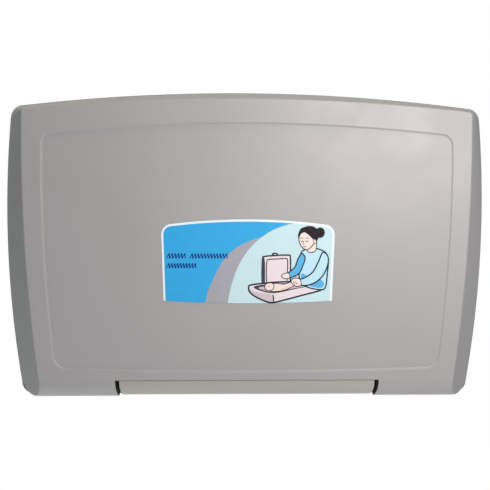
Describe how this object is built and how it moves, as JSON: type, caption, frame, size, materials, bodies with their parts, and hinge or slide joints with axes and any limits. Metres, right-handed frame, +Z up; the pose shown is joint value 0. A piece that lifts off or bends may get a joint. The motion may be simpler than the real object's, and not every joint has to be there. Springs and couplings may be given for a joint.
{
  "type": "wall-mounted changing table",
  "caption": "Horizontal wall-mounted fold-down baby changing table, with bowed moulded bed, hinge barrel, gas spring, safety strap and liner case.",
  "frame": {"origin": "middle of the flat back face, on the wall plane", "axes": "+X along the hinge, +Y into the wall, +Z up; the closed bed faces -Y"},
  "size_m": [0.8892, 0.105, 0.562],
  "materials": {
    "shell_grey": "moulded light grey plastic, fine grain",
    "back_grey": "darker grey moulded plastic",
    "barrel_grey": "light grey extruded plastic",
    "liner_grey": "pale grey moulded plastic",
    "label_print": "printed plastic sheet in blue, silver and pale aqua",
    "painted_steel": "black powder coat",
    "zinc_steel": "zinc plated",
    "rod_steel": "ground and plated",
    "spring_black": "black lacquer",
    "bearing_white": "natural acetal",
    "rubber": "black rubber",
    "webbing": "dark woven webbing",
    "buckle_black": "black moulded plastic"
  },
  "bodies": {
    "wall_unit": {"back_shell": "back_grey", "inner_panel": "liner_grey", "panel_screw_1": "zinc_steel", "panel_screw_2": "zinc_steel", "panel_screw_3": "zinc_steel", "panel_screw_4": "zinc_steel", "upright_left": "painted_steel", "upright_right": "painted_steel", "top_rail": "painted_steel", "hinge_bracket_left": "painted_steel", "hinge_bracket_right": "painted_steel", "hinge_rod": "rod_steel", "rod_clip_left": "zinc_steel", "rod_clip_right": "zinc_steel", "barrel_cover": "barrel_grey", "spring_crank": "zinc_steel", "dispenser_box": "liner_grey", "bag_hook_left": "zinc_steel", "bag_hook_right": "zinc_steel", "hook_screw_left_1": "zinc_steel", "hook_screw_left_2": "zinc_steel", "hook_screw_right_1": "zinc_steel", "hook_screw_right_2": "zinc_steel", "bumper_left": "rubber", "bumper_right": "rubber"},
    "bed": {"door_shell": "shell_grey", "bed_liner": "liner_grey", "label_plate": "label_print", "bed_arm_left": "zinc_steel", "bed_arm_right": "zinc_steel", "cross_member": "zinc_steel", "arm_bolt_left_1": "zinc_steel", "arm_bolt_left_2": "zinc_steel", "arm_bolt_right_1": "zinc_steel", "arm_bolt_right_2": "zinc_steel", "bush_left": "bearing_white", "bush_right": "bearing_white", "liner_screw_1": "zinc_steel", "liner_screw_2": "zinc_steel", "liner_screw_3": "zinc_steel", "liner_screw_4": "zinc_steel", "liner_screw_5": "zinc_steel", "liner_screw_6": "zinc_steel", "gas_spring_cylinder": "spring_black", "gas_spring_bracket": "zinc_steel", "strap_anchor_lower": "buckle_black", "strap_anchor_upper": "buckle_black", "strap_lower": "webbing", "buckle_socket": "buckle_black"},
    "gas_spring_plunger": {"gas_spring_rod": "rod_steel"},
    "strap_end": {"buckle_plug": "buckle_black", "strap_upper": "webbing"},
    "refill_cover": {"dispenser_door": "shell_grey"}
  },
  "joints": [
    {"name": "bed_fold", "type": "hinge", "parent": "wall_unit", "child": "bed", "pos_m": [0, -0.075, -0.245], "axis": [1, 0, 0], "range_deg": [0, 90]},
    {"name": "gas_spring_stroke", "type": "slide", "parent": "bed", "child": "gas_spring_plunger", "axis": [0, 0, 1], "range_m": [0, 0.0213]},
    {"name": "buckle_release", "type": "slide", "parent": "bed", "child": "strap_end", "axis": [0, 0, 1], "range_m": [0, 0.03], "deforming": ["strap_upper"]},
    {"name": "refill_cover_slide", "type": "slide", "parent": "wall_unit", "child": "refill_cover", "axis": [0, 0, 1], "range_m": [0, 0.06]}
  ],
  "couplings": [
    {"joint": "gas_spring_stroke", "follows": "bed_fold", "m_per_rad": 0.013505}
  ]
}
